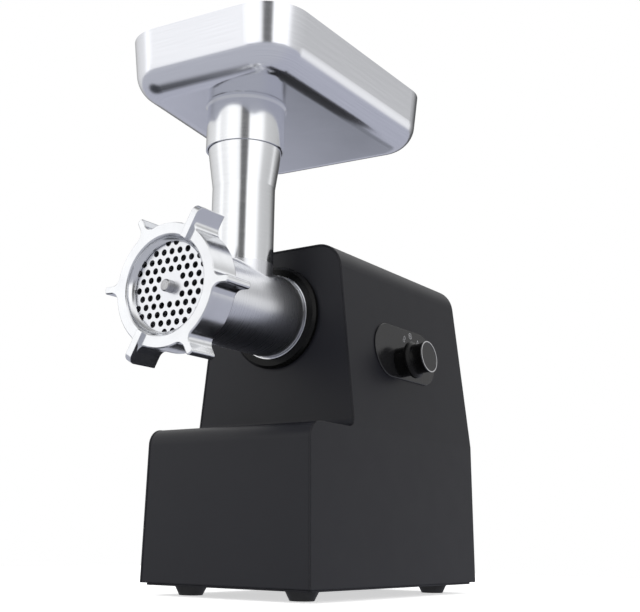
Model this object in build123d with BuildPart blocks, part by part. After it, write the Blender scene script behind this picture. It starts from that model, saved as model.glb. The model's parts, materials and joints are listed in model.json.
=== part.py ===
"""Electric meat grinder with a stepped sheet-metal housing, a removable head and a feed tray.

Millimetres. +Z is up and -Y is the front, where the grinding head points. The origin lies on the surface
that the feet stand on, under the middle of the machine.
"""
import os
from math import acos, atan, cos, degrees, pi, radians, sin, sqrt

from build123d import *

os.makedirs("parts", exist_ok=True)

# Housing
body_width = 140.0
body_front_y = -77.0
body_back_y = 145.4
step_y = -25.5              # front face of the upper housing
foot_height = 8.0           # floor to the lower edge of the shell
foot_taper = 27.0
platform_z = 111.0          # the step in front of the upper housing, and the fold in the sides
top_z = 241.0
lower_draft = 2.2           # each side leans in by this much up to the fold
upper_lean = 14.2           # and by this much more up to the top
back_lean = 5.0
shoulder_r = 20.0
platform_edge_r = 11.0
platform_bend_r = 6.5
sheet = 1.2
panel_gap = 0.1
panel_recess = 0.2
foot_x, foot_front_y, foot_back_y = 46.0, -52.0, 120.0
base_plate_t = 1.5
inlet_z = 34.0
panel_screw_spots = ((56.0, 34.0), (56.0, 160.0), (36.0, 228.0))

# Head, all on one axis along Y
axis_z = 191.5
throat_y = -66.3
barrel_r = 29.0
bore_r = 25.5
throat_r = 21.8
throat_wall = 2.4
throat_cone_z = 276.0       # where the throat starts to widen
throat_mouth_r = 25.8
throat_top_z = 335.7
port_z = axis_z + barrel_r + 0.5       # the flared feed port ends here and the throat tube starts
port_r = 22.0
junction_r = 2.5
tail_r = 29.2
trim_r = 30.1
tail_front_y, tail_back_y = -29.5, 1.0
auger_seat_y = -34.0        # front face of the head's rear wall
thread_r = 37.4
plate_r = 34.9
plate_t = 7.0
plate_front_y = -136.5
face_y = plate_front_y + 0.8
ring_front_y = -142.8
ring_back_y = -121.0
ring_r = 40.4
ring_opening_r = 32.3
ring_lip_r = 29.2
lug_r = 51.6
big_lug_r = 53.8
big_lug_angle = 60             # and the lug opposite; the four small ones sit a little short of 60 apart
lug_skew = 2.5
edge_break = 0.7
hole_pitch = 6.65
hole_r = 2.15
pin_r = 4.0
knife_t = 6.0
knife_square = 11.0
drive_square = 11.4
drive_end_y = 4.5
lock_y = -10.0
running_gap = 0.05
free_gap = 0.3

# Feed tray, turned a little about the throat as it stands on the machine
tray_turn = 4.8
tray_floor_z = 336.0
tray_height = 42.5
tray_front, tray_back = -63.7, 144.5        # from the throat's axis
tray_front_half, tray_back_half = 66.6, 81.9
tray_corner_r = 32.0
tray_bottom_r = 20.0
tray_draft = 4.6
tray_t = 1.2
sleeve_r = 27.5
sleeve_bore_r = 26.3
sleeve_z = 303.6

# Controls on the right side, measured along the leaning panel
control_y, control_z = 53.0, 171.7
control_length, control_height = 86.5, 39.5
control_t = 1.2
knob_u, knob_v = -8.5, -7.2
knob_length = 24.2
knob_end_r = 11.4
knob_ring_w = 0.8

# Drive: three spur stages from the motor up to the head
module_1, module_2, module_3 = 1.0, 1.25, 1.5
pinion_teeth, wheel_1_teeth = 12, 50
pinion_2_teeth, wheel_2_teeth = 12, 45
pinion_3_teeth, wheel_3_teeth = 14, 49
pressure_angle = radians(25)
backlash = 0.25
layshaft_r = 5.0
cover_front_y, cover_back_y = 2.0, 6.0
case_back_y = 48.0
case_wall = 3.0
motor_half = 34.0
rotor_r = 20.0
motor_shaft_r = 4.0
stator_front_y, stator_back_y = 62.0, 98.0
bracket_y = 117.0

layshaft_2_z = axis_z - module_3 * (pinion_3_teeth + wheel_3_teeth) / 2
layshaft_1_z = layshaft_2_z - module_2 * (pinion_2_teeth + wheel_2_teeth) / 2
motor_z = layshaft_1_z - module_1 * (pinion_teeth + wheel_1_teeth) / 2
case_circles = ((axis_z, 43.0), (layshaft_2_z, 35.0), (layshaft_1_z, 31.0), (motor_z, 18.0))

side_angle = atan(upper_lean / (top_z - platform_z))
control_x = body_width / 2 - lower_draft - (control_z - platform_z) * upper_lean / (top_z - platform_z)
panel_normal = (cos(side_angle), 0, sin(side_angle))
control_plane = Plane(origin=(control_x, control_y, control_z), x_dir=(0, 1, 0), z_dir=panel_normal)
knob_base = control_plane.from_local_coords(Vector(knob_u, knob_v, 0))
foot_centre = (0, (foot_front_y + foot_back_y) / 2)


def save(piece, label):
    """Names a finished piece and writes it."""
    piece.part.label = label
    export_step(piece.part, f"parts/{label}.step")


def facing(y):
    """A plane at y that faces the front; its sketches read x and z."""
    return Plane.XZ.offset(-y)


def front_outline(inset):
    """Front view of the housing at its back, moved in from the sides and the top."""
    half = body_width / 2 - inset
    fold = half - lower_draft
    top = fold - upper_lean
    with BuildSketch(facing(body_back_y)) as view:
        with BuildLine():
            Polyline((-half, foot_height), (-fold, platform_z), (-top, top_z - inset), (top, top_z - inset),
                     (fold, platform_z), (half, foot_height), close=True)
        make_face()
        fillet(view.vertices().group_by(Axis.Y)[-1], shoulder_r - inset)
    return view.sketch


def side_outline(setback):
    """Side view of the housing, its stepped front edge set back."""
    front, step, platform = body_front_y + setback, step_y + setback, platform_z - setback
    with BuildSketch(Plane.YZ) as view:
        with BuildLine():
            Polyline((front, foot_height), (front, platform), (step, platform), (step, top_z),
                     (body_back_y - back_lean, top_z), (body_back_y, platform_z), (body_back_y, foot_height),
                     close=True)
        make_face()
        edge = view.vertices().sort_by_distance(Vector(front, platform))[0]
        fillet(edge, platform_edge_r - setback)
        bend = view.vertices().sort_by_distance(Vector(step, platform))[0]
        fillet(bend, platform_bend_r + setback)
    return view.sketch


def back_strip(depth):
    """Side view of a sheet along the back, its outer face this deep inside the back edges."""
    outer, inner = body_back_y - depth, body_back_y - depth - sheet
    with BuildSketch(Plane.YZ) as view:
        with BuildLine():
            Polyline((outer, foot_height), (outer, platform_z), (outer - back_lean, top_z),
                     (inner - back_lean, top_z), (inner, platform_z), (inner, foot_height), close=True)
        make_face()
    return view.sketch


def within_housing(inset):
    """Trims the current part to the housing's front view, moved in."""
    extrude(front_outline(inset), amount=body_back_y - body_front_y, mode=Mode.INTERSECT)


def rod(y_from, y_to, radius, x=0.0, z=axis_z, mode=Mode.ADD):
    """Adds or cuts a round bar along Y."""
    with BuildSketch(facing(y_to)) as section:
        with Locations((x, z)):
            Circle(radius)
    extrude(section.sketch, amount=y_to - y_from, mode=mode)


def bar(y_from, y_to, width, height, x=0.0, z=axis_z, mode=Mode.ADD):
    """Adds or cuts a rectangular bar along Y."""
    with BuildSketch(facing(y_to)) as section:
        with Locations((x, z)):
            Rectangle(width, height)
    extrude(section.sketch, amount=y_to - y_from, mode=mode)


def tube(y_from, y_to, outer, inner, x=0.0, z=axis_z):
    """Adds a tube along Y to the current part."""
    with BuildSketch(facing(y_to)) as section:
        with Locations((x, z)):
            Circle(outer)
            Circle(inner, mode=Mode.SUBTRACT)
    extrude(section.sketch, amount=y_to - y_from)


def screw(y, x, z, shank_r=1.6, head_r=3.1, length=9.0):
    """Adds a cross-head screw along Y: its head behind y, its shank in front of it."""
    rod(y - length, y, shank_r, x, z)
    rod(y, y + 1.8, head_r, x, z)
    bar(y + 0.8, y + 1.8, 1.2 * head_r, 0.9, x, z, Mode.SUBTRACT)
    bar(y + 0.8, y + 1.8, 0.9, 1.2 * head_r, x, z, Mode.SUBTRACT)


def gear_points(teeth, module, phase):
    """Outline of an involute gear with one tooth centred on the phase angle."""
    pitch = module * teeth / 2
    base = pitch * cos(pressure_angle)
    tip, root = pitch + 0.85 * module, pitch - 1.1 * module

    def roll(r):
        return sqrt(max((r / base) ** 2 - 1, 0)) - acos(min(base / r, 1))

    half_tooth = pi / 2 / teeth - backlash / 2 / pitch + roll(pitch)
    start = max(base, root + 0.01)
    radii = [start + (tip - start) * step / 4 for step in range(5)]
    foot = half_tooth - roll(start)
    flank = [(root, foot + 0.3 * (pi / teeth - foot))] + [(r, half_tooth - roll(r)) for r in radii]
    points = []
    for tooth in range(teeth):
        middle = phase + 2 * pi * tooth / teeth
        points += [(r * cos(middle - a), r * sin(middle - a)) for r, a in flank]
        points += [(r * cos(middle + a), r * sin(middle + a)) for r, a in reversed(flank)]
    return points


def gear(teeth, module, phase, y_from, y_to, z):
    """Adds a spur gear along Y to the current part; the phase counts from +X towards +Z."""
    with BuildSketch(facing(y_to)) as section:
        with BuildLine():
            Polyline(*[(px, z + pz) for px, pz in gear_points(teeth, module, phase)], close=True)
        make_face()
    extrude(section.sketch, amount=y_to - y_from)


def case_outline(y, inset):
    """Front view of the gear case, drawn at y and moved in."""
    with BuildSketch(facing(y)) as view:
        for z, radius in case_circles:
            with Locations((0, z)):
                Circle(radius - inset)
        make_hull()
    return view.sketch


# ---------------------------------------------------------------- housing

with BuildPart() as housing_shell:
    extrude(front_outline(0), amount=body_back_y - body_front_y)
    extrude(side_outline(0), amount=body_width, both=True, mode=Mode.INTERSECT)
    extrude(front_outline(sheet), amount=body_back_y - body_front_y, mode=Mode.SUBTRACT)
    # Holes for the switch shaft on the right and for the lock screw on the left.
    with BuildSketch(control_plane):
        with Locations((knob_u, knob_v)):
            Circle(6.0)
    extrude(amount=10, both=True, mode=Mode.SUBTRACT)
    with BuildSketch(Plane.YZ):
        with Locations((lock_y, axis_z)):
            Circle(5.0)
    extrude(amount=-body_width, mode=Mode.SUBTRACT)
save(housing_shell, "housing_shell")

with BuildPart() as rear_frame:
    extrude(back_strip(panel_recess + sheet + 0.1), amount=body_width / 2, both=True)
    within_housing(sheet)
    extrude(front_outline(15), amount=60, mode=Mode.SUBTRACT)
    bar(100, 150, 90, 60, 0, foot_height, Mode.SUBTRACT)
    for screw_x, screw_z in panel_screw_spots:
        for side in (-1, 1):
            rod(120, 150, 1.65, side * screw_x, screw_z, Mode.SUBTRACT)
save(rear_frame, "rear_frame")

with BuildPart() as front_cover:
    extrude(side_outline(panel_recess), amount=body_width / 2, both=True)
    extrude(side_outline(panel_recess + sheet), amount=body_width / 2, both=True, mode=Mode.SUBTRACT)
    within_housing(sheet + panel_gap)
    rod(step_y - 5, step_y + 10, 33.3, mode=Mode.SUBTRACT)
save(front_cover, "front_cover")

with BuildPart() as back_panel:
    extrude(back_strip(panel_recess), amount=body_width / 2, both=True)
    within_housing(sheet + panel_gap)
    # Two columns of air slots behind the motor, the inlet's cut-out below them and the screw holes.
    with BuildSketch(facing(body_back_y)):
        with Locations((0, 97.6)):
            with GridLocations(50, 7.5, 2, 9):
                SlotOverall(40, 3.2)
        with Locations((0, inlet_z)):
            RectangleRounded(28.4, 20.4, 2.6)
            with GridLocations(40, 1, 2, 1):
                Circle(1.7)
        for screw_x, screw_z in panel_screw_spots:
            with Locations((screw_x, screw_z), (-screw_x, screw_z)):
                Circle(1.7)
    extrude(amount=20, mode=Mode.SUBTRACT)
save(back_panel, "back_panel")

with BuildPart() as panel_screws:
    for screw_x, screw_z in panel_screw_spots:
        lean = back_lean * max(screw_z - platform_z, 0) / (top_z - platform_z)
        for side in (-1, 1):
            screw(body_back_y - panel_recess - lean + 0.15, side * screw_x, screw_z)
save(panel_screws, "panel_screws")

with BuildPart() as base_plate:
    plate_centre = (0, (body_front_y + body_back_y) / 2)
    plate_length = body_back_y - body_front_y - 5
    with BuildSketch(Plane.XY.offset(foot_height - base_plate_t)):
        with Locations(plate_centre):
            RectangleRounded(body_width - 5, plate_length, 3.0)
    extrude(amount=base_plate_t)
    # The upstand that stiffens it inside the shell.
    with BuildSketch(Plane.XY.offset(foot_height)):
        with Locations(plate_centre):
            RectangleRounded(body_width - 9, plate_length - 8, 2.5)
            RectangleRounded(body_width - 12, plate_length - 11, 1.0, mode=Mode.SUBTRACT)
    extrude(amount=9.0)
    # Air slots under the motor and holes for the feet's screws.
    with BuildSketch(Plane.XY.offset(foot_height)):
        with Locations((0, 0.0)):
            with GridLocations(38, 8, 2, 6):
                SlotOverall(32, 3.4)
        with Locations(foot_centre):
            with GridLocations(2 * foot_x, foot_back_y - foot_front_y, 2, 2):
                Circle(2.2)
    extrude(amount=-base_plate_t, mode=Mode.SUBTRACT)
save(base_plate, "base_plate")

with BuildPart() as rubber_feet:
    with BuildSketch(Plane.XY):
        with Locations(foot_centre):
            with GridLocations(2 * foot_x, foot_back_y - foot_front_y, 2, 2):
                Circle(7.9)
    extrude(amount=foot_height - base_plate_t, taper=-foot_taper)
    for hole, depth in ((4.2, 3.4), (2.1, foot_height)):
        with BuildSketch(Plane.XY):
            with Locations(foot_centre):
                with GridLocations(2 * foot_x, foot_back_y - foot_front_y, 2, 2):
                    Circle(hole)
        extrude(amount=depth, mode=Mode.SUBTRACT)
save(rubber_feet, "rubber_feet")

with BuildPart() as foot_screws:
    for part_r, part_z, part_length in ((3.8, 1.6, 1.8), (1.9, 3.4, 9.0)):
        with BuildSketch(Plane.XY.offset(part_z)):
            with Locations(foot_centre):
                with GridLocations(2 * foot_x, foot_back_y - foot_front_y, 2, 2):
                    Circle(part_r)
        extrude(amount=part_length)
    with BuildSketch(Plane.XY.offset(1.6)):
        with Locations(foot_centre):
            with GridLocations(2 * foot_x, foot_back_y - foot_front_y, 2, 2):
                Rectangle(4.2, 1.0)
                Rectangle(1.0, 4.2)
    extrude(amount=1.0, mode=Mode.SUBTRACT)
save(foot_screws, "foot_screws")

with BuildPart() as power_inlet:
    flange_y = body_back_y - panel_recess
    with BuildSketch(facing(flange_y + 2.0)):
        with Locations((0, inlet_z)):
            RectangleRounded(50, 24, 5.0)
    extrude(amount=2.0)
    with BuildSketch(facing(flange_y)):
        with Locations((0, inlet_z)):
            RectangleRounded(28, 20, 2.5)
    extrude(amount=20)
    with BuildSketch(facing(flange_y + 2.0)):
        with Locations((0, inlet_z)):
            RectangleRounded(24, 16, 2.0)
    extrude(amount=17, mode=Mode.SUBTRACT)
    with BuildSketch(facing(flange_y + 2.0)):
        with Locations((0, inlet_z)):
            with GridLocations(40, 1, 2, 1):
                Circle(1.7)
    extrude(amount=5, mode=Mode.SUBTRACT)
save(power_inlet, "power_inlet")

with BuildPart() as inlet_pins:
    for pin_x, pin_z in ((-7, -2), (0, 2), (7, -2)):
        bar(flange_y - 15.0, flange_y - 3.0, 2.0, 4.0, pin_x, inlet_z + pin_z)
save(inlet_pins, "inlet_pins")

with BuildPart() as inlet_screws:
    for side in (-1, 1):
        screw(flange_y + 2.0, side * 20, inlet_z, 1.6, 2.8, 7.0)
save(inlet_screws, "inlet_screws")

# ---------------------------------------------------------------- socket for the head

with BuildPart() as head_socket:
    socket_y = step_y + panel_recess + sheet
    rod(socket_y, cover_front_y, 36.0)
    rod(socket_y, socket_y + 4.5, 44.0)
    rod(step_y - 0.8, socket_y, 33.0)
    # Boss for the lock screw, on the left.
    with BuildSketch(Plane.YZ.offset(-52.0)):
        with Locations((lock_y, axis_z)):
            Circle(8.5)
    extrude(amount=20.0)
    rod(step_y - 1.0, cover_front_y, tail_r + running_gap, mode=Mode.SUBTRACT)
    with BuildSketch(Plane.YZ.offset(-60.0)):
        with Locations((lock_y, axis_z)):
            Circle(4.0 + free_gap)
    extrude(amount=35.0, mode=Mode.SUBTRACT)
save(head_socket, "head_socket")

with BuildPart() as socket_bezel:
    with BuildSketch(Plane.YZ):
        with BuildLine():
            Polyline((step_y + panel_recess, axis_z + 33.2), (step_y + panel_recess, axis_z + 36.7),
                     (step_y - 2.4, axis_z + 36.7), (step_y - 4.2, axis_z + 34.9),
                     (step_y - 4.2, axis_z + trim_r + 0.1), (step_y - 1.0, axis_z + trim_r + 0.1),
                     (step_y - 1.0, axis_z + 33.2), close=True)
        make_face()
    revolve(axis=Axis((0, 0, axis_z), (0, 1, 0)))
save(socket_bezel, "socket_bezel")

with BuildPart() as socket_trim_ring:
    tube(step_y - 4.8, step_y - 1.0, trim_r, tail_r + 0.35)
save(socket_trim_ring, "socket_trim_ring")

with BuildPart() as lock_screw:
    with BuildSketch(Plane.YZ.offset(-(tail_r + 0.35))):
        with Locations((lock_y, axis_z)):
            Circle(2.6)
    extrude(amount=-2.0)
    with BuildSketch(Plane.YZ.offset(-(tail_r + 2.35))):
        with Locations((lock_y, axis_z)):
            Circle(4.0)
    extrude(amount=-35.0)
save(lock_screw, "lock_screw")

with BuildPart() as lock_knob:
    with BuildSketch(Plane.YZ.offset(-66.0)):
        with Locations((lock_y, axis_z)):
            Circle(15.0)
            with PolarLocations(18.6, 6):
                Circle(5.6, mode=Mode.SUBTRACT)
    extrude(amount=-12.0)
    chamfer(lock_knob.faces().sort_by(Axis.X)[0].edges(), 1.0)
    with BuildSketch(Plane.YZ.offset(-61.0)):
        with Locations((lock_y, axis_z)):
            Circle(8.0)
    extrude(amount=-5.0)
    with BuildSketch(Plane.YZ.offset(-60.0)):
        with Locations((lock_y, axis_z)):
            Circle(4.0)
    extrude(amount=-7.35, mode=Mode.SUBTRACT)
save(lock_knob, "lock_knob")

# ---------------------------------------------------------------- grinding head

with BuildPart() as head_casting:
    # Tail, barrel, flare and threaded flange.
    with BuildSketch(Plane.YZ):
        with BuildLine():
            Polyline((face_y, axis_z), (face_y, axis_z + thread_r), (ring_back_y - 2, axis_z + thread_r),
                     (ring_back_y + 7, axis_z + barrel_r), (tail_front_y, axis_z + barrel_r),
                     (tail_front_y, axis_z + tail_r), (tail_back_y, axis_z + tail_r), (tail_back_y, axis_z),
                     close=True)
        make_face()
    revolve(axis=Axis((0, 0, axis_z), (0, 1, 0)))
    # Throat: straight, then widening inside the tray's sleeve.
    with BuildSketch(facing(throat_y)):
        with BuildLine():
            Polyline((0, axis_z), (throat_r, axis_z), (throat_r, throat_cone_z), (throat_mouth_r, sleeve_z),
                     (throat_mouth_r, throat_top_z), (0, throat_top_z), close=True)
        make_face()
    revolve(axis=Axis((0, throat_y, 0), (0, 0, 1)))
    junction = Vector(throat_r, throat_y, axis_z + sqrt(barrel_r ** 2 - throat_r ** 2))
    fillet(head_casting.edges().sort_by_distance(junction)[0], junction_r)
    # Bores: throat, barrel, the seat of the knife and the plate, the auger's bearing and the tail.
    with BuildSketch(facing(throat_y)):
        with BuildLine():
            Polyline((0, axis_z), (port_r, axis_z), (throat_r - throat_wall, port_z),
                     (throat_r - throat_wall, throat_cone_z),
                     (throat_mouth_r - throat_wall, sleeve_z), (throat_mouth_r - throat_wall, throat_top_z),
                     (0, throat_top_z), close=True)
        make_face()
    revolve(axis=Axis((0, throat_y, 0), (0, 0, 1)), mode=Mode.SUBTRACT)
    rod(face_y, auger_seat_y, bore_r, mode=Mode.SUBTRACT)
    rod(face_y, plate_front_y + plate_t + knife_t + 1.0, plate_r + 0.1, mode=Mode.SUBTRACT)
    rod(auger_seat_y, tail_front_y + 1.5, 10.3, mode=Mode.SUBTRACT)
    rod(tail_front_y + 1.5, tail_back_y, 24.0, mode=Mode.SUBTRACT)

# The casting is kept as two pieces: the barrel with the port, and the throat tube that stands on it.
with BuildSketch(Plane.XY.offset(port_z)) as throat_surround:
    with Locations((0, throat_y)):
        Circle(throat_mouth_r + 1)

with BuildPart() as grinder_head:
    add(head_casting.part)
    extrude(throat_surround.sketch, amount=throat_top_z - port_z + 1, mode=Mode.SUBTRACT)
save(grinder_head, "grinder_head")

with BuildPart() as throat_tube:
    add(head_casting.part)
    extrude(throat_surround.sketch, amount=throat_top_z - port_z + 1, mode=Mode.INTERSECT)
save(throat_tube, "throat_tube")

with BuildPart() as grinding_plate:
    tube(plate_front_y, plate_front_y + plate_t, plate_r, pin_r + running_gap)
    # Holes on a triangular grid, out to the ring nut's lip and clear of the hub.
    with BuildSketch(facing(plate_front_y + plate_t)):
        for row in range(-5, 6):
            for column in range(-8, 9):
                hole_x = (column + row / 2) * hole_pitch
                hole_z = row * hole_pitch * sqrt(3) / 2
                if 1.5 * hole_pitch < sqrt(hole_x ** 2 + hole_z ** 2) < 4.45 * hole_pitch:
                    with Locations((hole_x, axis_z + hole_z)):
                        Circle(hole_r)
    extrude(amount=plate_t, mode=Mode.SUBTRACT)
save(grinding_plate, "grinding_plate")

knife_y = plate_front_y + plate_t + free_gap

with BuildPart() as cutting_knife:
    with BuildSketch(facing(knife_y + knife_t)):
        with Locations((0, axis_z)):
            Circle(11.0)
            with PolarLocations(18, 4):
                Rectangle(27, 8)
            Rectangle(knife_square, knife_square, mode=Mode.SUBTRACT)
    extrude(amount=knife_t)
save(cutting_knife, "cutting_knife")

with BuildPart() as auger_pin:
    # Square seat for the knife, then the round pin that runs in the plate.
    bar(knife_y, -106.0, knife_square, knife_square)
    rod(plate_front_y - 5.5, knife_y, pin_r)
    chamfer(auger_pin.faces().sort_by(Axis.Y)[0].edges(), 0.8)
save(auger_pin, "auger_pin")

with BuildPart() as auger:
    rod(knife_y + knife_t + free_gap, auger_seat_y - free_gap, 11.0)
    # Three turns of flight.
    with BuildLine():
        flight_path = Helix(26.0, 78.0, 11.0, (0, auger_seat_y - 4, axis_z), (0, -1, 0))
    flight_start = flight_path @ 0
    outward = (flight_start - Vector(0, flight_start.Y, axis_z)).normalized()
    with BuildSketch(Plane(origin=flight_start, x_dir=outward, z_dir=flight_path % 0)):
        with Locations((6.3, 0)):
            Rectangle(14.6, 5.0)
    sweep(path=flight_path, is_frenet=True)
    rod(-200, 0, bore_r - 0.7, mode=Mode.INTERSECT)
    # Shank: round where it runs in the head, square where the machine drives it.
    rod(auger_seat_y - free_gap, tail_front_y + 1.5, 10.3 - running_gap)
    bar(tail_front_y + 1.5, drive_end_y, drive_square, drive_square)
    bar(-130.0, -106.0, knife_square, knife_square, mode=Mode.SUBTRACT)
save(auger, "auger")

with BuildPart() as ring_nut:
    # Barrel of the nut with its six lugs' flared roots.
    with BuildSketch(facing(ring_back_y)) as nut_front:
        with Locations((0, axis_z)):
            Circle(ring_r)
            for start in (big_lug_angle, -lug_skew, 2 * big_lug_angle - lug_skew):
                with PolarLocations((ring_r + lug_r) / 2 - 1.5, 2, start_angle=start):
                    Rectangle(lug_r - ring_r + 3, 5.0)
        inner_corners = [v for v in nut_front.vertices()
                         if Vector(v.X, v.Y - axis_z).length < ring_r + 0.5]
        fillet(inner_corners, 6.0)
        outer_corners = [v for v in nut_front.vertices()
                         if Vector(v.X, v.Y - axis_z).length > lug_r - 1.0]
        fillet(outer_corners, 1.8)
    extrude(amount=ring_back_y - ring_front_y)
    chamfer(ring_nut.faces().sort_by(Axis.Y)[0].edges(), edge_break)
    # Cavity over the flange, lip in front of the plate and the hollow bevel out to the opening.
    with BuildSketch(Plane.YZ):
        with BuildLine():
            lip_y = plate_front_y - 1.6
            Polyline((lip_y, axis_z + ring_lip_r), (plate_front_y - free_gap, axis_z + ring_lip_r),
                     (plate_front_y - free_gap, axis_z + thread_r + 0.35), (ring_back_y, axis_z + thread_r + 0.35),
                     (ring_back_y, axis_z), (ring_front_y, axis_z), (ring_front_y, axis_z + ring_opening_r))
            ThreePointArc((ring_front_y, axis_z + ring_opening_r),
                          ((lip_y + ring_front_y) / 2 + 0.5, axis_z + (ring_opening_r + ring_lip_r) / 2 + 0.4),
                          (lip_y, axis_z + ring_lip_r))
        make_face()
    revolve(axis=Axis((0, 0, axis_z), (0, 1, 0)), mode=Mode.SUBTRACT)
    chamfer(ring_nut.faces().sort_by(Axis.Y)[0].inner_wires()[0].edges(), edge_break)
    # Two opposite lugs are bigger, stand proud of the front and run on as ribs to the opening.
    for angle in (radians(big_lug_angle), radians(big_lug_angle + 180)):
        with BuildSketch(Plane(origin=(0, 0, axis_z), x_dir=(cos(angle), 0, sin(angle)),
                               z_dir=(-sin(angle), 0, cos(angle)))) as big_lug:
            with BuildLine():
                Polyline((ring_opening_r, ring_front_y), (ring_opening_r, ring_front_y - 2.4),
                         (big_lug_r, ring_front_y - 2.4), (big_lug_r, ring_back_y),
                         (ring_r - 1.2, ring_back_y), (ring_r - 1.2, ring_front_y), close=True)
            make_face()
            fillet(big_lug.vertices().sort_by_distance(Vector(big_lug_r, ring_front_y - 2.4))[0], 5.0)
        extrude(amount=2.5, both=True)
save(ring_nut, "ring_nut")


# ---------------------------------------------------------------- feed tray

def pan(inset):
    """Solid of the tray's shape, moved in on the sides and the floor."""
    turn = radians(tray_turn)
    front, back = tray_front + inset, tray_back - inset
    front_half, back_half = tray_front_half - inset, tray_back_half - inset
    floor = tray_floor_z + inset
    with BuildPart() as solid:
        with BuildSketch(Plane(origin=(0, throat_y, floor), x_dir=(cos(turn), sin(turn), 0),
                               z_dir=(0, 0, 1))) as plan:
            with BuildLine():
                Polyline((-front_half, front), (front_half, front), (back_half, back), (-back_half, back),
                         close=True)
            make_face()
            fillet(plan.vertices(), tray_corner_r - inset)
            offset(amount=-tray_draft, mode=Mode.REPLACE)
        extrude(amount=tray_height - inset, taper=-degrees(atan(tray_draft / tray_height)))
        fillet(solid.faces().sort_by(Axis.Z)[0].edges(), tray_bottom_r - inset)
    return solid.part


with BuildPart() as feed_tray:
    add(pan(0))
    add(pan(tray_t), mode=Mode.SUBTRACT)
    with BuildSketch(Plane.XY.offset(tray_floor_z - 1)):
        with Locations((0, throat_y)):
            Circle(throat_mouth_r - throat_wall)
    extrude(amount=10, mode=Mode.SUBTRACT)
save(feed_tray, "feed_tray")

with BuildPart() as tray_sleeve:
    with BuildSketch(facing(throat_y)):
        with BuildLine():
            Polyline((sleeve_bore_r, sleeve_z), (sleeve_r, sleeve_z), (sleeve_r, tray_floor_z - 2.5),
                     (sleeve_r + 1.4, tray_floor_z - 0.8), (sleeve_r + 1.4, tray_floor_z),
                     (sleeve_bore_r, tray_floor_z), close=True)
        make_face()
    revolve(axis=Axis((0, throat_y, 0), (0, 0, 1)))
save(tray_sleeve, "tray_sleeve")

# ---------------------------------------------------------------- controls

with BuildPart() as control_plate:
    with BuildSketch(control_plane):
        SlotOverall(control_length, control_height)
        with Locations((knob_u, knob_v)):
            Circle(6.0, mode=Mode.SUBTRACT)
    extrude(amount=control_t)
    chamfer(control_plate.faces().sort_by(Axis(origin=(0, 0, 0), direction=panel_normal))[-1].outer_wire().edges(),
            0.4)
save(control_plate, "control_plate")

with BuildPart() as rotary_switch:
    with BuildSketch(control_plane.offset(-sheet - 0.2)):
        with Locations((knob_u, knob_v)):
            RectangleRounded(32, 32, 3)
    extrude(amount=-14.0)
    with BuildSketch(control_plane.offset(-sheet - 14.2)):
        with Locations((knob_u, knob_v)):
            with GridLocations(10, 12, 2, 2):
                Rectangle(0.8, 6.3)
    extrude(amount=-4.5)
    with BuildSketch(control_plane.offset(-sheet - 0.2)):
        with Locations((knob_u, knob_v)):
            Circle(3.0 + running_gap)
    extrude(amount=-10.0, mode=Mode.SUBTRACT)
save(rotary_switch, "rotary_switch")

knob_axis = Axis(knob_base, panel_normal)
knob_section = Plane(origin=knob_base, x_dir=(0, 1, 0), z_dir=(sin(side_angle), 0, -cos(side_angle)))

with BuildPart() as knob:
    knob_foot = control_t + free_gap
    with BuildSketch(knob_section):
        with BuildLine():
            Polyline((0, -10.0), (3.0, -10.0), (3.0, knob_foot), (10.9, knob_foot), (10.9, 10.0), (13.0, 10.0),
                     (13.4, 10.5), (13.4, 12.3), (12.8, 13.0), (11.2, 14.0))
            Spline((11.2, 14.0), (10.7, 17.0), (knob_end_r, knob_length - 0.8))
            Polyline((knob_end_r, knob_length - 0.8), (0, knob_length - 0.8), (0, -10.0))
        make_face()
    revolve(axis=knob_axis)
save(knob, "knob")

with BuildPart() as knob_ring:
    with BuildSketch(control_plane.offset(knob_length - 0.8)):
        with Locations((knob_u, knob_v)):
            Circle(knob_end_r)
            Circle(knob_end_r - knob_ring_w, mode=Mode.SUBTRACT)
    extrude(amount=0.8)
save(knob_ring, "knob_ring")

with BuildPart() as knob_face:
    with BuildSketch(control_plane.offset(knob_length - 0.8)):
        with Locations((knob_u, knob_v)):
            Circle(knob_end_r - knob_ring_w)
    extrude(amount=0.4)
save(knob_face, "knob_face")

# ---------------------------------------------------------------- gearbox

shaft_spots = ((axis_z, 15.0, 12.0), (layshaft_2_z, 8.0, layshaft_r), (layshaft_1_z, 8.0, layshaft_r))

with BuildPart() as gearbox_case:
    extrude(case_outline(case_back_y, 0), amount=case_back_y - cover_back_y)
    # Flange for the motor and its front bearing's seat.
    bar(case_back_y - 3.5, case_back_y, 2 * motor_half, 2 * motor_half, 0, motor_z)
    rod(case_back_y, case_back_y + 5, 13.0, 0, motor_z)
    extrude(case_outline(case_back_y - 3.5, case_wall), amount=case_back_y - 3.5 - cover_back_y,
            mode=Mode.SUBTRACT)
    rod(case_back_y - 4, case_back_y + 5, 9.5, 0, motor_z, Mode.SUBTRACT)
    for shaft_z, bush_r in ((axis_z, 9.0), (layshaft_2_z, 8.0), (layshaft_1_z, 8.0)):
        rod(case_back_y - 4, case_back_y, bush_r, 0, shaft_z, Mode.SUBTRACT)
    for side in (-1, 1):
        for up in (-1, 1):
            rod(case_back_y - 4, case_back_y + 1, 2.1, side * 29, motor_z + up * 29, Mode.SUBTRACT)
save(gearbox_case, "gearbox_case")

with BuildPart() as gearbox_cover:
    extrude(case_outline(cover_back_y, 0), amount=cover_back_y - cover_front_y)
    for shaft_z, bush_r, shaft_r in shaft_spots:
        rod(cover_front_y, cover_back_y, bush_r, 0, shaft_z, Mode.SUBTRACT)
save(gearbox_cover, "gearbox_cover")

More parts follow.
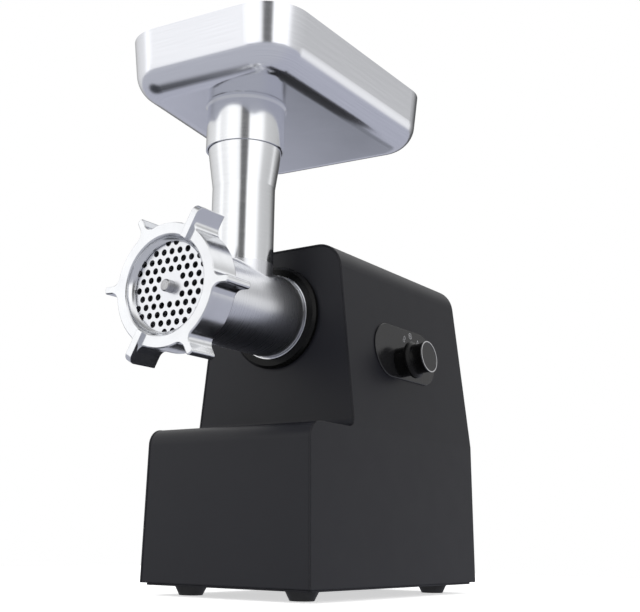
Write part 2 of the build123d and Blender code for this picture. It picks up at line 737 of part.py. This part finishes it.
with BuildPart() as bushings:
    for shaft_z, bush_r, shaft_r in shaft_spots:
        tube(cover_front_y, cover_back_y, bush_r, shaft_r + running_gap, 0, shaft_z)
    tube(case_back_y - 3.5, case_back_y, 9.0, 6.0 + running_gap, 0, axis_z)
    for shaft_z in (layshaft_2_z, layshaft_1_z):
        tube(case_back_y - 3.5, case_back_y, 8.0, layshaft_r + running_gap, 0, shaft_z)
save(bushings, "bushings")

with BuildPart() as wheel_1:
    gear(wheel_1_teeth, module_1, -pi / 2 + pi / wheel_1_teeth, 36, 43, layshaft_1_z)
    rod(36, 43, layshaft_r, 0, layshaft_1_z, Mode.SUBTRACT)
save(wheel_1, "wheel_1")

with BuildPart() as pinion_shaft_1:
    rod(cover_front_y + 0.5, case_back_y - 0.5, layshaft_r, 0, layshaft_1_z)
    gear(pinion_2_teeth, module_2, pi / 2, 23, 36, layshaft_1_z)
save(pinion_shaft_1, "pinion_shaft_1")

with BuildPart() as wheel_2:
    gear(wheel_2_teeth, module_2, -pi / 2 + pi / wheel_2_teeth, 24.5, 34, layshaft_2_z)
    rod(24, 35, layshaft_r, 0, layshaft_2_z, Mode.SUBTRACT)
save(wheel_2, "wheel_2")

with BuildPart() as pinion_shaft_2:
    rod(cover_front_y + 0.5, case_back_y - 0.5, layshaft_r, 0, layshaft_2_z)
    gear(pinion_3_teeth, module_3, pi / 2, 9, 24.5, layshaft_2_z)
save(pinion_shaft_2, "pinion_shaft_2")

with BuildPart() as output_wheel:
    gear(wheel_3_teeth, module_3, -pi / 2 + pi / wheel_3_teeth, 10, 22.5, axis_z)
    rod(10, 23, 12.0, mode=Mode.SUBTRACT)
save(output_wheel, "output_wheel")

with BuildPart() as output_shaft:
    rod(tail_front_y + 24, 22.5, 12.0)
    rod(22.5, case_back_y - 0.5, 6.0)
    bar(tail_front_y + 24, drive_end_y + 1, drive_square + 0.4, drive_square + 0.4, mode=Mode.SUBTRACT)
save(output_shaft, "output_shaft")

# ---------------------------------------------------------------- motor

with BuildPart() as motor_stator:
    with BuildSketch(facing(stator_back_y)):
        with Locations((0, motor_z)):
            RectangleRounded(2 * motor_half, 2 * motor_half, 8.0)
            Circle(rotor_r + 0.8, mode=Mode.SUBTRACT)
            Rectangle(60, 29, mode=Mode.SUBTRACT)
            with GridLocations(58, 58, 2, 2):
                Circle(2.1, mode=Mode.SUBTRACT)
    extrude(amount=stator_back_y - stator_front_y)
save(motor_stator, "motor_stator")

with BuildPart() as field_coils:
    for end_y in (stator_front_y, stator_back_y + 6):
        with BuildSketch(facing(end_y)):
            with Locations((0, motor_z)):
                Circle(29.4)
                Circle(21.8, mode=Mode.SUBTRACT)
                Rectangle(60, 3, mode=Mode.SUBTRACT)
        extrude(amount=6)
    with BuildSketch(facing(stator_back_y + 1)):
        with Locations((0, motor_z)):
            with GridLocations(51.0, 15.5, 2, 2):
                Rectangle(7.2, 12.0)
    extrude(amount=stator_back_y - stator_front_y + 2)
save(field_coils, "field_coils")

with BuildPart() as motor_bracket:
    with BuildSketch(facing(bracket_y + 4)):
        with Locations((0, motor_z)):
            RectangleRounded(2 * motor_half, 2 * motor_half, 8.0)
            with GridLocations(0, 36, 1, 2):
                RectangleRounded(44, 20, 5, mode=Mode.SUBTRACT)
            with GridLocations(58, 58, 2, 2):
                Circle(2.1, mode=Mode.SUBTRACT)
    extrude(amount=4)
    # Seat of the rear bearing and four spacers down to the stator.
    rod(bracket_y, bracket_y + 7, 10.0, 0, motor_z)
    rod(bracket_y - 1, bracket_y + 8, 8.0, 0, motor_z, Mode.SUBTRACT)
    for side in (-1, 1):
        for up in (-1, 1):
            tube(stator_back_y, bracket_y, 3.6, 2.1, side * 29, motor_z + up * 29)
save(motor_bracket, "motor_bracket")

with BuildPart() as motor_screws:
    for side in (-1, 1):
        for up in (-1, 1):
            screw(bracket_y + 4, side * 29, motor_z + up * 29, 2.0, 3.6, bracket_y + 7.4 - case_back_y)
save(motor_screws, "motor_screws")

with BuildPart() as case_spacers:
    for side in (-1, 1):
        for up in (-1, 1):
            tube(case_back_y, stator_front_y, 3.6, 2.1, side * 29, motor_z + up * 29)
save(case_spacers, "case_spacers")

with BuildPart() as motor_bearings:
    tube(case_back_y - 1.5, case_back_y + 5, 9.5, motor_shaft_r + running_gap, 0, motor_z)
    tube(bracket_y + 1, bracket_y + 7, 8.0, motor_shaft_r + running_gap, 0, motor_z)
save(motor_bearings, "motor_bearings")

with BuildPart() as brush_holders:
    for side in (-1, 1):
        bar(106, bracket_y, 18, 12, side * 23.5, motor_z)
        bar(107.5, bracket_y - 2, 40, 8, side * 23.5, motor_z, Mode.SUBTRACT)
save(brush_holders, "brush_holders")

with BuildPart() as carbon_brushes:
    for side in (-1, 1):
        bar(107.6, bracket_y - 2.1, 13, 7.8, side * 18.4, motor_z)
    rod(100, 120, 11.3, 0, motor_z, Mode.SUBTRACT)
save(carbon_brushes, "carbon_brushes")

with BuildPart() as motor_cradle:
    with BuildSketch(facing(stator_back_y - 2)):
        with Locations((0, foot_height + 1)):
            Rectangle(60, 2)
        with Locations((0, motor_z - motor_half - 1)):
            Rectangle(52, 2)
        for side in (-1, 1):
            with BuildLine():
                Polyline((side * 24, motor_z - motor_half), (side * 26, motor_z - motor_half),
                         (side * 26, foot_height), (side * 24, foot_height), close=True)
            make_face()
    extrude(amount=stator_back_y - stator_front_y - 4)
save(motor_cradle, "motor_cradle")

with BuildPart() as rotor_core:
    # Shaft with the motor's pinion cut on its end, and the laminated core with its slots.
    rod(case_back_y - 4, 136, motor_shaft_r, 0, motor_z)
    gear(pinion_teeth, module_1, pi / 2, 34.5, case_back_y - 4, motor_z)
    with BuildSketch(facing(stator_back_y + 1)):
        with Locations((0, motor_z)):
            Circle(rotor_r)
            with PolarLocations(16.5, 12):
                SlotOverall(8, 3.4, mode=Mode.SUBTRACT)
    extrude(amount=stator_back_y - stator_front_y + 2)
save(rotor_core, "rotor_core")

with BuildPart() as rotor_winding:
    tube(stator_front_y - 6, stator_front_y - 1, 17.0, motor_shaft_r, 0, motor_z)
    tube(stator_back_y + 1, stator_back_y + 6, 17.0, motor_shaft_r, 0, motor_z)
save(rotor_winding, "rotor_winding")

with BuildPart() as commutator:
    with BuildSketch(facing(bracket_y - 1)):
        with Locations((0, motor_z)):
            Circle(11.0)
            Circle(motor_shaft_r, mode=Mode.SUBTRACT)
            with PolarLocations(10.6, 24):
                Rectangle(1.2, 0.5, mode=Mode.SUBTRACT)
    extrude(amount=bracket_y - 1 - stator_back_y - 6)
save(commutator, "commutator")

with BuildPart() as cooling_fan:
    tube(bracket_y + 9, bracket_y + 18, 8.0, motor_shaft_r, 0, motor_z)
    tube(bracket_y + 9, bracket_y + 10.5, 30.0, motor_shaft_r, 0, motor_z)
    with BuildSketch(facing(bracket_y + 18)):
        with Locations((0, motor_z)):
            with PolarLocations(18.5, 9):
                Rectangle(22, 1.5)
    extrude(amount=8)
save(cooling_fan, "cooling_fan")
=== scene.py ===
"""Looks of the electric meat grinder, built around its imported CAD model.

Metres, in the model's own frame: +Z is up, -Y is the front and +X is the side with the rotary switch.
"""

import json
from math import cos, pi, radians, sin

import bmesh
import bpy
from mathutils import Matrix, Vector


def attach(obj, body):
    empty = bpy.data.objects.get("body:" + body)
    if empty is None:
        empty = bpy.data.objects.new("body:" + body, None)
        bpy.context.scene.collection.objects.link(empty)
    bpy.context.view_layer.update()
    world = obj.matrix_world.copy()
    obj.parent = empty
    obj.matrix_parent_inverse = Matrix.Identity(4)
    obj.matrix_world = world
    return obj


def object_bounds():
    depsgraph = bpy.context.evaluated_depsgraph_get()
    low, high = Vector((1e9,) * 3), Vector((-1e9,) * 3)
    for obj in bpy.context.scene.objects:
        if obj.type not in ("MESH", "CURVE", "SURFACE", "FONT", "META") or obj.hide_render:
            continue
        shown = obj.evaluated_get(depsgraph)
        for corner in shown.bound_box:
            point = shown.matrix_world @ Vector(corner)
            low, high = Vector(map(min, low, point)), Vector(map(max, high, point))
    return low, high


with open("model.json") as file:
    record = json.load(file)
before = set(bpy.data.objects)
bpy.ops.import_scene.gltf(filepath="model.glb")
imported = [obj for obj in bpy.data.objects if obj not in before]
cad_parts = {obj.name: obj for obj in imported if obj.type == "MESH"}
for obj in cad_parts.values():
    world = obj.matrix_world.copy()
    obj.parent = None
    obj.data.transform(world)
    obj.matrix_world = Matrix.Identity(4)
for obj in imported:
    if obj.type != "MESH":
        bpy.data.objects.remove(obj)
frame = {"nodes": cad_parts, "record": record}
cad_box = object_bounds()
nodes = frame["nodes"]

# ---------------------------------------------------------------- material helpers

# The parts of a noise's range that the colour and the roughness run over.
colour_span = (0.3, 0.7)
roughness_span = (0.35, 0.65)

# Radii that sharp edges look rounded to.
sheet_edge = 0.0012
moulded_edge = 0.0004
cast_edge = 0.0006


class Shader:
    """A Principled material and the few nodes that feed it, all in object coordinates."""

    def __init__(self, name, metallic=0.0, specular=0.5):
        self.material = bpy.data.materials.new(name)
        self.material.use_nodes = True
        self.tree = self.material.node_tree
        self.bsdf = self.tree.nodes["Principled BSDF"]
        self.bsdf.inputs["Metallic"].default_value = metallic
        self.bsdf.inputs["Specular IOR Level"].default_value = specular
        self.place = self.tree.nodes.new("ShaderNodeTexCoord").outputs["Object"]

    def stretched(self, scale):
        """Object coordinates scaled by a different amount along each axis."""
        mapping = self.tree.nodes.new("ShaderNodeMapping")
        mapping.inputs["Scale"].default_value = scale
        self.tree.links.new(self.place, mapping.inputs["Vector"])
        return mapping.outputs["Vector"]

    def noise(self, scale, detail=3.0, vector=None):
        """Noise from 0 to 1; scale is in cycles per metre unless the vector is already stretched."""
        node = self.tree.nodes.new("ShaderNodeTexNoise")
        node.inputs["Scale"].default_value = scale
        node.inputs["Detail"].default_value = detail
        self.tree.links.new(vector or self.place, node.inputs["Vector"])
        return node.outputs["Fac"]

    def colour(self, value, dark, light):
        """Base colour that runs from dark to light with a value."""
        node = self.tree.nodes.new("ShaderNodeValToRGB")
        for element, position, shade in zip(node.color_ramp.elements, colour_span, (dark, light)):
            element.position = position
            element.color = (*shade, 1)
        self.tree.links.new(value, node.inputs["Fac"])
        self.tree.links.new(node.outputs["Color"], self.bsdf.inputs["Base Color"])

    def roughness(self, value, low, high):
        """Roughness that runs from low to high with a value."""
        node = self.tree.nodes.new("ShaderNodeMapRange")
        sockets = ("From Min", "From Max", "To Min", "To Max")
        for socket, number in zip(sockets, (*roughness_span, low, high)):
            node.inputs[socket].default_value = number
        self.tree.links.new(value, node.inputs["Value"])
        self.tree.links.new(node.outputs["Result"], self.bsdf.inputs["Roughness"])

    def bump(self, value, depth, edge=0.0):
        """Surface relief, depth in metres, and sharp edges that look rounded to a radius."""
        node = self.tree.nodes.new("ShaderNodeBump")
        node.inputs["Distance"].default_value = depth
        self.tree.links.new(value, node.inputs["Height"])
        if edge:
            rounded = self.tree.nodes.new("ShaderNodeBevel")
            rounded.inputs["Radius"].default_value = edge
            self.tree.links.new(rounded.outputs["Normal"], node.inputs["Normal"])
        self.tree.links.new(node.outputs["Normal"], self.bsdf.inputs["Normal"])


def coated(name, dark, light, rough, specular, grain=1500, depth=0.00005):
    """Powder-coated sheet: a fine pebbled skin with faint broad shading."""
    shader = Shader(name, specular=specular)
    shader.colour(shader.noise(9, 4), dark, light)
    shader.roughness(shader.noise(60, 4), *rough)
    shader.bump(shader.noise(grain, 2), depth, sheet_edge)
    return shader.material


def moulded(name, dark, light, rough=(0.3, 0.36), grain=2400, depth=0.00001, specular=0.5):
    """Moulded plastic or rubber."""
    shader = Shader(name, specular=specular)
    shader.colour(shader.noise(30, 3), dark, light)
    shader.roughness(shader.noise(120, 4), *rough)
    shader.bump(shader.noise(grain, 2), depth, moulded_edge)
    return shader.material


def brushed(name, dark, light, stretch, rough=(0.2, 0.26), depth=0.0000006):
    """Metal with fine marks, long across the axes with the small numbers in stretch."""
    shader = Shader(name, metallic=1.0)
    marks = shader.noise(1.0, 4, shader.stretched(stretch))
    shader.colour(marks, dark, light)
    shader.roughness(marks, *rough)
    shader.bump(marks, depth)
    return shader.material


def cast(name, dark, light, rough=(0.17, 0.21), grain=2600, depth=0.000002):
    """Cast and tumbled metal."""
    shader = Shader(name, metallic=1.0)
    shader.colour(shader.noise(60, 4), dark, light)
    shader.roughness(shader.noise(200, 3), *rough)
    shader.bump(shader.noise(grain, 3), depth, cast_edge)
    return shader.material


materials = {
    "black_coat": coated("powder_black", (0.0035, 0.0037, 0.0066), (0.0043, 0.0045, 0.0076), (0.42, 0.44), 0.35),
    "zinc_sheet": brushed("zinc_sheet", (0.4, 0.41, 0.42), (0.52, 0.53, 0.54), (900, 40, 900), (0.35, 0.5)),
    "screw_steel": brushed("screw_steel", (0.42, 0.42, 0.42), (0.56, 0.56, 0.56), (1500, 200, 1500)),
    "foot_rubber": moulded("foot_rubber", (0.005, 0.005, 0.005), (0.009, 0.009, 0.009), (0.55, 0.7),
                           grain=1200, depth=0.00004),
    "black_plastic": moulded("black_plastic", (0.003, 0.003, 0.003), (0.005, 0.005, 0.005), (0.4, 0.48),
                             specular=0.2),
    "gloss_black": moulded("gloss_black", (0.002, 0.002, 0.002), (0.003, 0.003, 0.003), (0.22, 0.28),
                           specular=0.16),
    "control_grey": moulded("control_grey", (0.008, 0.008, 0.009), (0.010, 0.010, 0.011), (0.2, 0.22)),
    "brass_contact": brushed("brass_contact", (0.6, 0.45, 0.2), (0.75, 0.58, 0.28), (900, 900, 200)),
    "trim_chrome": brushed("trim_chrome", (0.78, 0.78, 0.80), (0.86, 0.86, 0.88), (600, 2400, 600), (0.06, 0.1)),
    "cast_alu": cast("cast_aluminium", (0.74, 0.75, 0.77), (0.80, 0.81, 0.83)),
    "head_steel": brushed("head_steel", (0.74, 0.75, 0.78), (0.80, 0.81, 0.84), (40, 2400, 40), (0.27, 0.3)),
    "tray_steel": brushed("tray_steel", (0.78, 0.79, 0.83), (0.84, 0.85, 0.89), (24, 24, 2200), (0.15, 0.19)),
    "gear_steel": brushed("gear_steel", (0.35, 0.35, 0.36), (0.5, 0.5, 0.51), (1200, 60, 1200)),
    "gear_nylon": moulded("gear_nylon", (0.66, 0.62, 0.52), (0.76, 0.72, 0.62)),
    "bronze": cast("sintered_bronze", (0.42, 0.27, 0.13), (0.56, 0.38, 0.2), (0.4, 0.55), 3000),
    "lamination": brushed("lamination", (0.14, 0.14, 0.15), (0.26, 0.26, 0.27), (20, 2000, 20), (0.4, 0.55),
                          depth=0.00002),
    "copper": brushed("copper_winding", (0.5, 0.2, 0.09), (0.68, 0.3, 0.14), (1600, 20, 1600), (0.25, 0.4),
                      depth=0.00006),
    "carbon": moulded("pressed_carbon", (0.01, 0.01, 0.01), (0.02, 0.02, 0.02), (0.5, 0.7)),
}

for part in frame["record"]["subparts"]:
    mesh = nodes[part["node"]].data
    mesh.materials.clear()
    mesh.materials.append(materials[part["material_slot"]])

# The throat and the sleeve are turned about their own upright axis, so their marks run round it.
turned_steel = brushed("turned_steel", (0.76, 0.77, 0.79), (0.82, 0.83, 0.85), (40, 40, 2600), (0.14, 0.18))

# The knife and the auger are steel painted near black as painted shade, so the plate's holes look black.
shade_painted_steel = brushed("shade_painted_steel", (0.012, 0.012, 0.013), (0.022, 0.022, 0.024), (40, 1800, 40), (0.45, 0.55))

for name, material in (("throat_tube", turned_steel), ("tray_sleeve", turned_steel), ("auger", shade_painted_steel),
                       ("cutting_knife", shade_painted_steel)):
    nodes[name].data.materials[0] = material


# ---------------------------------------------------------------- new objects

def add_object(name, data):
    """A new object in the scene that shows some data."""
    item = bpy.data.objects.new(name, data)
    bpy.context.scene.collection.objects.link(item)
    return item


def mesh_object(name, source, material):
    """A new object made from a bmesh, which is freed, in one material."""
    data = bpy.data.meshes.new(name)
    source.to_mesh(data)
    source.free()
    data.materials.append(material)
    return add_object(name, data)


# ---------------------------------------------------------------- printed marks above the switch

# The switch's axis gives the plate's plane: u runs back along it, v up it, and n out of it.
knob_joint = next(j for j in frame["record"]["behaviour"]["joints"] if j["name"] == "knob_turn")
knob_base = Vector(knob_joint["pos_m"])
plate_n = Vector(knob_joint["axis"]).normalized()
plate_u = Vector((0, 1, 0))
plate_v = plate_n.cross(plate_u)
plate_top = max((vertex.co - knob_base).dot(plate_n) for vertex in nodes["control_plate"].data.vertices)
print_thickness = 0.00006
print_sunk = 0.00002
mitre_limit = 0.4


def stroke(mesh, points, width):
    """Adds a closed printed line with mitred corners through points (u, v), counted from the switch's axis."""
    loops = []
    count = len(points)
    for side in (-0.5, 0.5):
        for height in (plate_top - print_sunk, plate_top + print_thickness):
            loop = []
            for index, point in enumerate(points):
                before = (point - points[index - 1]).normalized()
                after = (points[(index + 1) % count] - point).normalized()
                mitre = (before + after).normalized()
                outward = Vector((mitre.y, -mitre.x))
                reach = side * width / max(mitre.dot(before), mitre_limit)
                spot = point + outward * reach
                place = knob_base + plate_u * spot.x + plate_v * spot.y + plate_n * height
                loop.append(mesh.verts.new(place))
            loops.append(loop)
    inner_low, inner_high, outer_low, outer_high = loops
    for first, second in ((inner_high, inner_low), (inner_low, outer_low), (outer_low, outer_high),
                          (outer_high, inner_high)):
        for index in range(count):
            following = (index + 1) % count
            mesh.faces.new((first[index], first[following], second[following], second[index]))


def polygon(centre, radius, sides, turn=0.0):
    """Corners of a regular polygon, the first one turned from the u axis."""
    angles = [turn + 2 * pi * index / sides for index in range(sides)]
    return [Vector(centre) + radius * Vector((cos(angle), sin(angle))) for angle in angles]


# Two small rings, a ring with a dot in it, and a triangle.
marks_mesh = bmesh.new()
stroke(marks_mesh, polygon((0.0065, 0.0177), 0.0011, 20), 0.0005)
stroke(marks_mesh, polygon((0.0082, 0.0201), 0.0011, 20), 0.0005)
stroke(marks_mesh, polygon((0.0169, 0.0228), 0.0021, 28), 0.0006)
stroke(marks_mesh, polygon((0.0169, 0.0228), 0.0007, 16), 0.0006)
stroke(marks_mesh, polygon((0.0277, 0.0194), 0.0018, 3, pi / 2), 0.0005)
bmesh.ops.recalc_face_normals(marks_mesh, faces=marks_mesh.faces)
mark_paint = moulded("printed_mark", (0.28, 0.28, 0.29), (0.36, 0.36, 0.37), (0.45, 0.55))
control_marks = mesh_object("control_marks", marks_mesh, mark_paint)
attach(control_marks, "housing")

# ---------------------------------------------------------------- floor

floor_half = 0.62
floor_gap = 0.0002
floor_glow = 0.6

floor_paint = Shader("pale_floor", specular=0.2)
floor_paint.colour(floor_paint.noise(6, 3), (0.88, 0.88, 0.88), (0.91, 0.91, 0.91))
floor_paint.roughness(floor_paint.noise(80, 3), 0.6, 0.7)
floor_paint.bsdf.inputs["Emission Color"].default_value = (1, 1, 1, 1)
floor_paint.bsdf.inputs["Emission Strength"].default_value = floor_glow
floor_mesh = bmesh.new()
bmesh.ops.create_grid(floor_mesh, x_segments=2, y_segments=2, size=floor_half)
floor = mesh_object("floor", floor_mesh, floor_paint.material)
floor.location.z = cad_box[0][2] - floor_gap
floor.visible_glossy = False

# ---------------------------------------------------------------- studio

# White to the camera, and round the object soft panels with a darker gap where the camera stands: azimuth from the
# front in degrees, and brightness.
panel_levels = (
    (-180, 0.10), (-150, 0.10), (-125, 0.35), (-95, 0.75), (-62, 0.95), (-46, 1.3), (-36, 1.05), (-25, 1.1),
    (0, 1.35), (22, 1.1), (31, 0.15), (43, 0.15), (49, 0.95), (56, 1.45), (85, 1.3), (105, 0.72), (150, 0.55),
    (164, 0.35), (180, 0.10))
panel_ceiling = 2.0
white = (1, 1, 1, 1)
upper = (1.15, 1.15, 1.15, 1)
zenith = (0.3, 0.3, 0.3, 1)
ground_behind = (0.47, 0.48, 0.55, 1)
ground_in_front = (0.50, 0.51, 0.56, 1)

# Where one gives way to the next, as heights on the unit sphere, and as a distance behind its middle.
upper_rise = (0.38, 0.62)
zenith_rise = (0.75, 0.95)
ground_fall = (0.02, -0.08)
ground_split = (-0.35, 0.35)

# A white card beside the machine and dark ones behind and in front of it, both low: azimuth, elevation, inner and
# outer radius in degrees, and tint.
cards = (
    (143, 4, 4, 14, (1.0, 1.0, 1.0, 1)),
    (-150, -28, 2, 13, (0.22, 0.23, 0.26, 1)),
    (-84, -44, 10, 22, (0.05, 0.053, 0.06, 1)))


def studio_world():
    """Builds the surroundings from the panels, the ground and the cards."""
    world = bpy.data.worlds.new("studio")
    world.use_nodes = True
    tree = world.node_tree
    link = tree.links.new

    def calculate(operation, first, second):
        """A number from two numbers or sockets."""
        node = tree.nodes.new("ShaderNodeMath")
        node.operation = operation
        for socket, value in zip(node.inputs, (first, second)):
            if isinstance(value, (int, float)):
                socket.default_value = value
            else:
                link(value, socket)
        return node.outputs[0]

    def mix(factor, first, second):
        """A colour that goes from the first to the second as the factor goes from 0 to 1."""
        node = tree.nodes.new("ShaderNodeMix")
        node.data_type = "RGBA"
        colour_a, colour_b = (socket for socket in node.inputs if socket.name in "AB" and socket.type == "RGBA")
        link(factor, node.inputs[0])
        for socket, value in ((colour_a, first), (colour_b, second)):
            if isinstance(value, tuple):
                socket.default_value = value
            else:
                link(value, socket)
        return next(socket for socket in node.outputs if socket.type == "RGBA")

    def rise(value, start, end):
        """Smoothly from 0 to 1 as the value goes from start to end."""
        node = tree.nodes.new("ShaderNodeMapRange")
        node.interpolation_type = "SMOOTHSTEP"
        node.inputs["From Min"].default_value = start
        node.inputs["From Max"].default_value = end
        link(value, node.inputs["Value"])
        return node.outputs[0]

    direction = tree.nodes.new("ShaderNodeTexCoord").outputs["Generated"]
    split = tree.nodes.new("ShaderNodeSeparateXYZ")
    link(direction, split.inputs[0])
    x, y, z = split.outputs
    azimuth = calculate("ARCTAN2", x, calculate("MULTIPLY", y, -1.0))
    turn = calculate("ADD", calculate("DIVIDE", azimuth, 2 * pi), 0.5)

    ring = tree.nodes.new("ShaderNodeFloatCurve")
    ring.mapping.clip_max_y = panel_ceiling
    curve = ring.mapping.curves[0]
    places = [(angle / 360 + 0.5, level) for angle, level in panel_levels]
    curve.points[0].location = places[0]
    curve.points[-1].location = places[-1]
    for place in places[1:-1]:
        curve.points.new(*place)
    for point in curve.points:
        point.handle_type = "AUTO_CLAMPED"
    ring.mapping.update()
    link(turn, ring.inputs["Value"])
    panels = tree.nodes.new("ShaderNodeCombineColor")
    for socket in panels.inputs:
        link(ring.outputs[0], socket)

    shade = mix(rise(z, *upper_rise), panels.outputs[0], upper)
    shade = mix(rise(z, *zenith_rise), shade, zenith)
    ground = mix(rise(y, *ground_split), ground_in_front, ground_behind)
    shade = mix(rise(z, *ground_fall), shade, ground)
    for card_azimuth, elevation, inner, outer, tint in cards:
        level_reach = cos(radians(elevation))
        closeness = tree.nodes.new("ShaderNodeVectorMath")
        closeness.operation = "DOT_PRODUCT"
        closeness.inputs[1].default_value = (
            sin(radians(card_azimuth)) * level_reach, -cos(radians(card_azimuth)) * level_reach,
            sin(radians(elevation)))
        link(direction, closeness.inputs[0])
        card = rise(closeness.outputs["Value"], cos(radians(outer)), cos(radians(inner)))
        shade = mix(card, shade, tint)

    seen = tree.nodes.new("ShaderNodeLightPath").outputs["Is Camera Ray"]
    link(mix(seen, shade, white), tree.nodes["Background"].inputs["Color"])
    bpy.context.scene.world = world


def softbox(name, place, width, height, power):
    """A rectangular area light that faces the object and isn't seen in its metal."""
    data = bpy.data.lights.new(name, "AREA")
    data.shape = "RECTANGLE"
    data.size = width
    data.size_y = height
    data.energy = power
    light = add_object(name, data)
    light.location = place
    light.rotation_euler = (Vector(light_target) - Vector(place)).to_track_quat("-Z", "Y").to_euler()
    light.visible_glossy = False


light_target = (0, 0, 0.19)
studio_world()
softbox("key_light", (-0.7, -1.3, 1.1), 0.9, 0.9, 4)
softbox("side_light", (1.5, -0.2, 0.7), 0.8, 1.2, 2.5)
softbox("top_light", (0.0, 0.2, 1.6), 1.2, 1.2, 4)
bpy.context.scene.view_settings.view_transform = "Standard"

# ---------------------------------------------------------------- camera

camera_place = Vector((0.43882, -0.61065, 0.03677))
camera_turn = radians(34.4)
camera_pitch = radians(12.67)
camera_roll = radians(0.89)
camera_lens = 58.87
camera_sensor = 36
camera_near = 0.01

level_right = Vector((cos(camera_turn), sin(camera_turn), 0))
level_ahead = Vector((-sin(camera_turn), cos(camera_turn), 0))
forward = level_ahead * cos(camera_pitch) + Vector((0, 0, sin(camera_pitch)))
level_up = level_right.cross(forward)
right = level_right * cos(camera_roll) + level_up * sin(camera_roll)
up = level_up * cos(camera_roll) - level_right * sin(camera_roll)

camera_data = bpy.data.cameras.new("camera")
camera_data.lens = camera_lens
camera_data.sensor_width = camera_sensor
camera_data.clip_start = camera_near
camera = add_object("camera", camera_data)
turned = Matrix((right, up, -forward)).transposed().to_4x4()
camera.matrix_world = Matrix.Translation(camera_place) @ turned
bpy.context.scene.camera = camera
